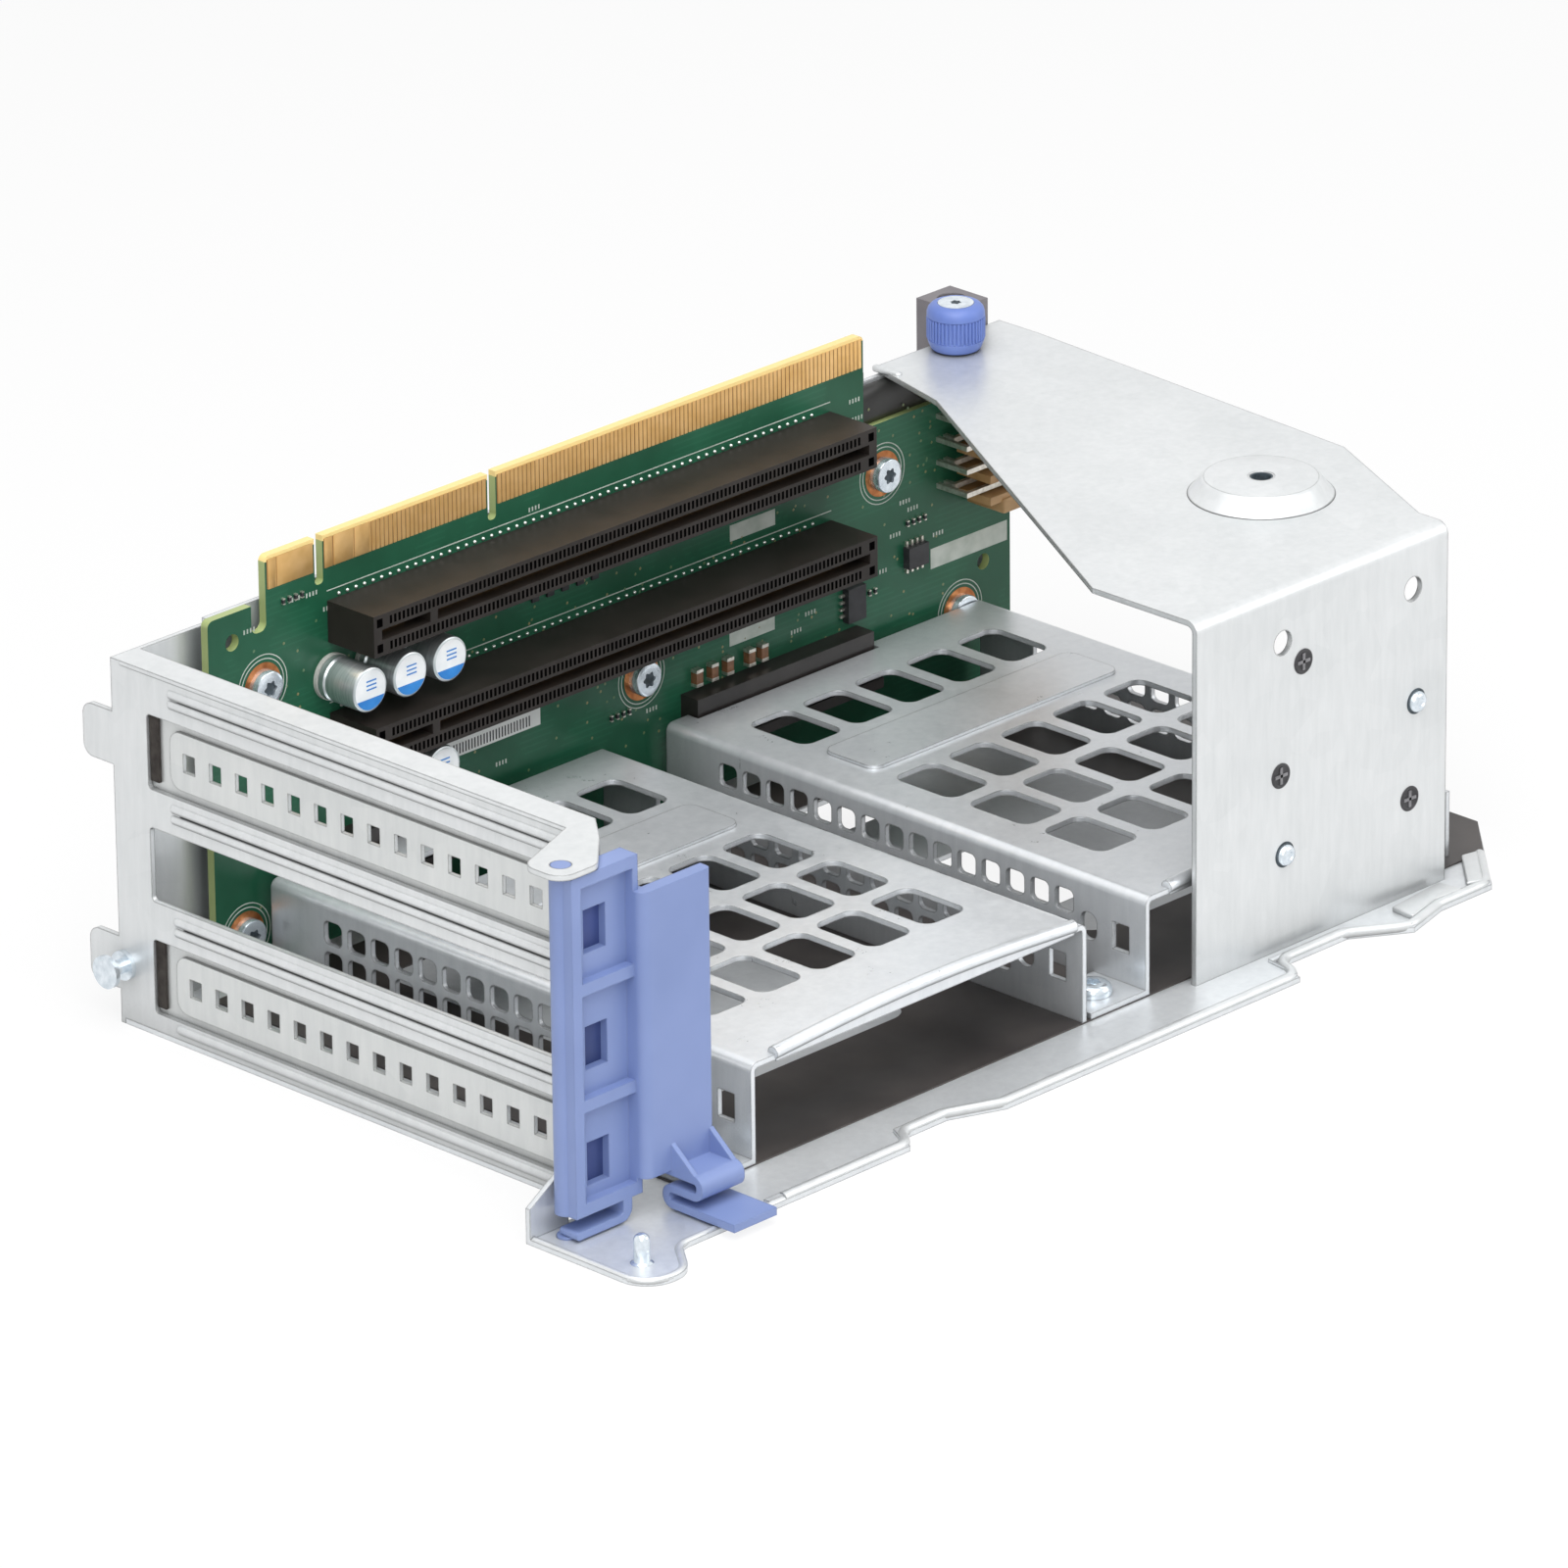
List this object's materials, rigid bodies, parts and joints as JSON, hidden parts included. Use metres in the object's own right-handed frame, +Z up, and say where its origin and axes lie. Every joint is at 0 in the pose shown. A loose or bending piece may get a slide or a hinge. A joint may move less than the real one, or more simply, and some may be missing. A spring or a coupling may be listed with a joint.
{
  "type": "server riser card cage",
  "caption": "Galvanised server riser cage with a green riser board, long card slots, perforated drive cages, slot covers, hinged blue card latch and thumbscrew-held support bracket.",
  "frame": {"origin": "on the underside of the floor sheet, at the slot bracket's outer face and the outer face of its return wall", "axes": "+X along the board from the slot bracket, +Y from the drive mouths towards the board, +Z up towards the edge fingers"},
  "size_m": [0.2345, 0.1505, 0.0761],
  "materials": {
    "galvanised_steel": "bright galvanised sheet, fine spangle",
    "cage_steel": "plain galvanised sheet",
    "cover_steel": "plated pressed sheet",
    "screw_steel": "bright zinc plate",
    "board": "green solder mask over glass fibre board",
    "gold": "gold plated fingers",
    "contact_metal": "plated contact springs",
    "slot_plastic": "black glass filled moulding",
    "plug_plastic": "black moulding",
    "header_plastic": "amber moulding",
    "pin_metal": "tinned pins",
    "can_aluminium": "bright drawn can",
    "seal_rubber": "black seal",
    "chip_plastic": "moulded package",
    "ceramic": "brown ceramic with tinned ends",
    "resistor": "black glaze with tinned ends",
    "film": "dark satin film",
    "latch_plastic": "periwinkle blue moulding",
    "knob_plastic": "periwinkle blue moulding",
    "guide_plastic": "grey moulding",
    "label_paper": "plain pale label"
  },
  "bodies": {
    "cage": {"base_plate": "galvanised_steel", "insulator_film": "film", "slot_bracket": "galvanised_steel", "slot_cover_upper": "cover_steel", "slot_cover_lower": "cover_steel", "riser_board": "board", "edge_contacts": "gold", "card_slot_upper": "slot_plastic", "card_slot_lower": "slot_plastic", "card_slot_contacts": "contact_metal", "drive_connector_left": "plug_plastic", "drive_connector_right": "plug_plastic", "power_header_housing": "header_plastic", "power_header_pins": "pin_metal", "capacitor_cans": "can_aluminium", "capacitor_seals": "seal_rubber", "power_chip": "chip_plastic", "logic_chip": "chip_plastic", "chip_leads": "pin_metal", "ceramic_capacitors": "ceramic", "chip_resistors": "resistor", "board_label": "label_paper", "board_screws": "screw_steel", "board_standoffs": "screw_steel", "drive_cage_left": "cage_steel", "drive_cage_right": "cage_steel", "cage_screws": "screw_steel", "support_bracket": "galvanised_steel", "push_pins": "screw_steel", "face_rivets": "screw_steel", "thumbscrew_nut": "screw_steel", "guide_block": "guide_plastic", "corner_pin": "screw_steel", "side_stud": "screw_steel"},
    "latch": {"retention_latch": "latch_plastic"},
    "thumbscrew": {"thumbscrew_knob": "knob_plastic", "thumbscrew_screw": "screw_steel"}
  },
  "joints": [
    {"name": "latch_hinge", "type": "hinge", "parent": "cage", "child": "latch", "pos_m": [-0.0113, -0.1175, 0.033], "axis": [0, 0, -1], "range_deg": [0, 90]},
    {"name": "thumbscrew_turn", "type": "hinge", "parent": "cage", "child": "thumbscrew", "pos_m": [0.1989, -0.0043, 0.0668], "axis": [0, 0, 1], "continuous": true}
  ]
}
